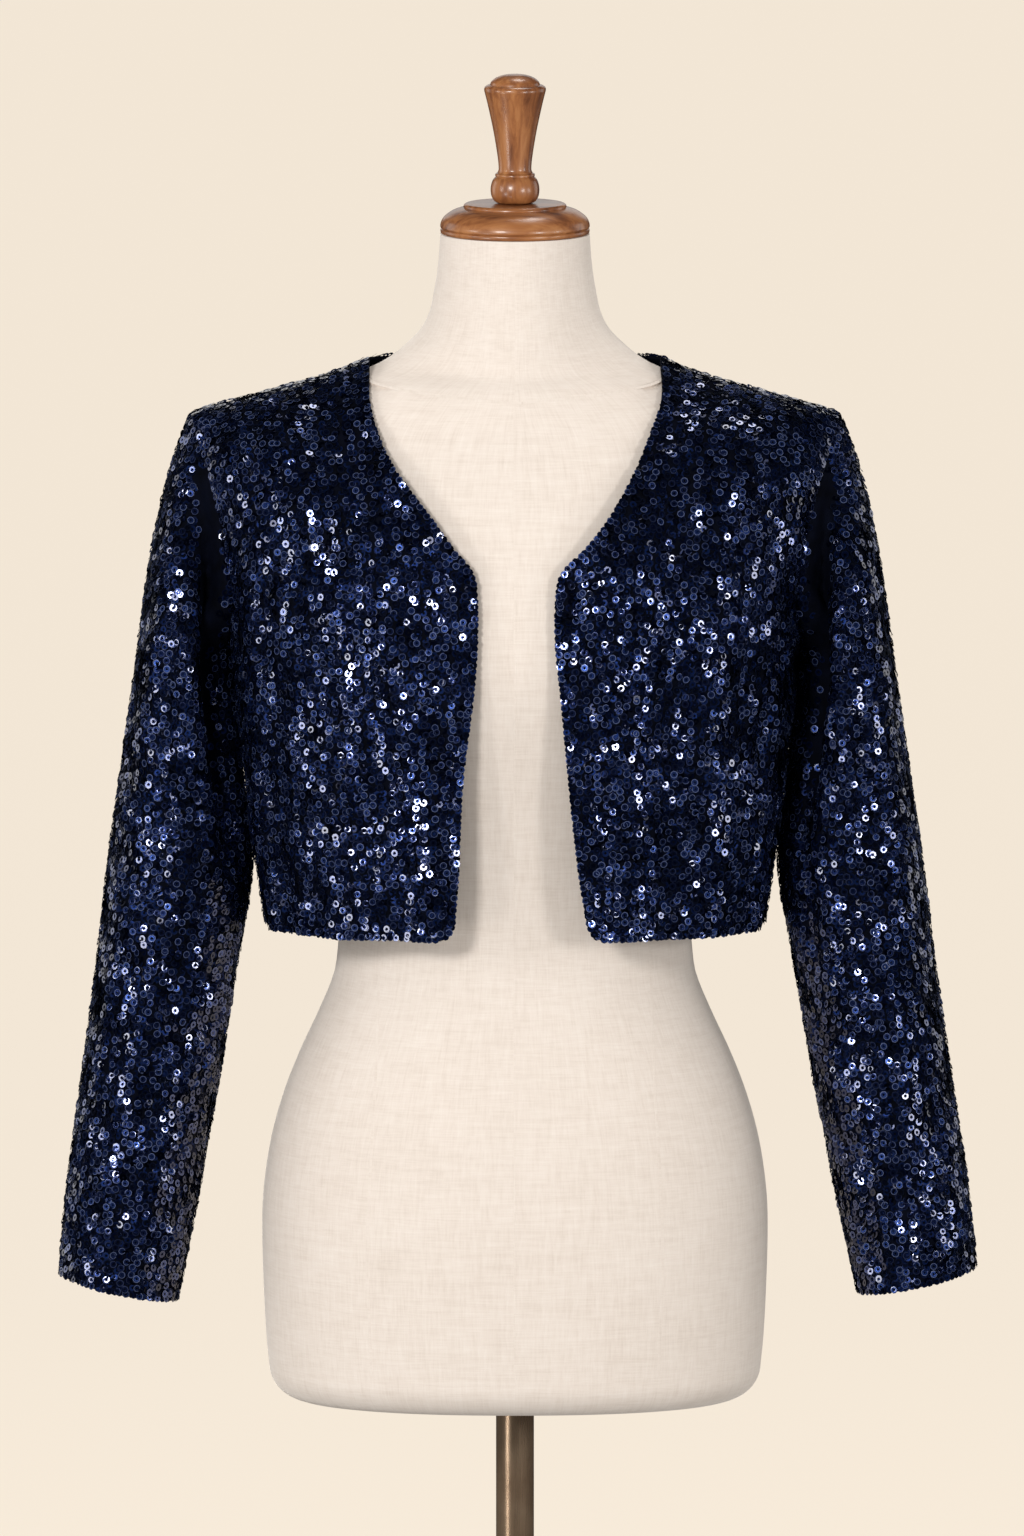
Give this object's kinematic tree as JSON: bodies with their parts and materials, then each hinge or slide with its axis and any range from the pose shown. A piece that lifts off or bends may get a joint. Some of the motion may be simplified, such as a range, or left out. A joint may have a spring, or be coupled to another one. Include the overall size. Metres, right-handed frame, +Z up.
{
  "type": "bolero jacket on a dress form",
  "caption": "Cropped open-front bolero jacket with long set-in sleeves, covered in sequins, worn on a limbless linen dress form with a turned cap, pole and round base.",
  "frame": {"origin": "centre of the base's underside, on the floor", "axes": "+Z up along the pole; the jacket faces -Y; +X is the wearer's left"},
  "size_m": [0.642, 0.37, 1.6376],
  "materials": {
    "sequin_cloth": "midnight blue cloth covered with glossy sequins",
    "linen": "matt natural linen stretched over the form",
    "turned_wood": "satin varnish on reddish-brown turned wood",
    "bronze": "brushed, darkened bronze"
  },
  "bodies": {
    "root": {"jacket_back": "sequin_cloth", "jacket_front_left": "sequin_cloth", "jacket_front_right": "sequin_cloth", "jacket_sleeve_left": "sequin_cloth", "jacket_sleeve_right": "sequin_cloth", "dress_form": "linen", "neck_cap": "turned_wood", "finial": "turned_wood", "pole": "bronze", "base": "bronze"}
  },
  "joints": []
}
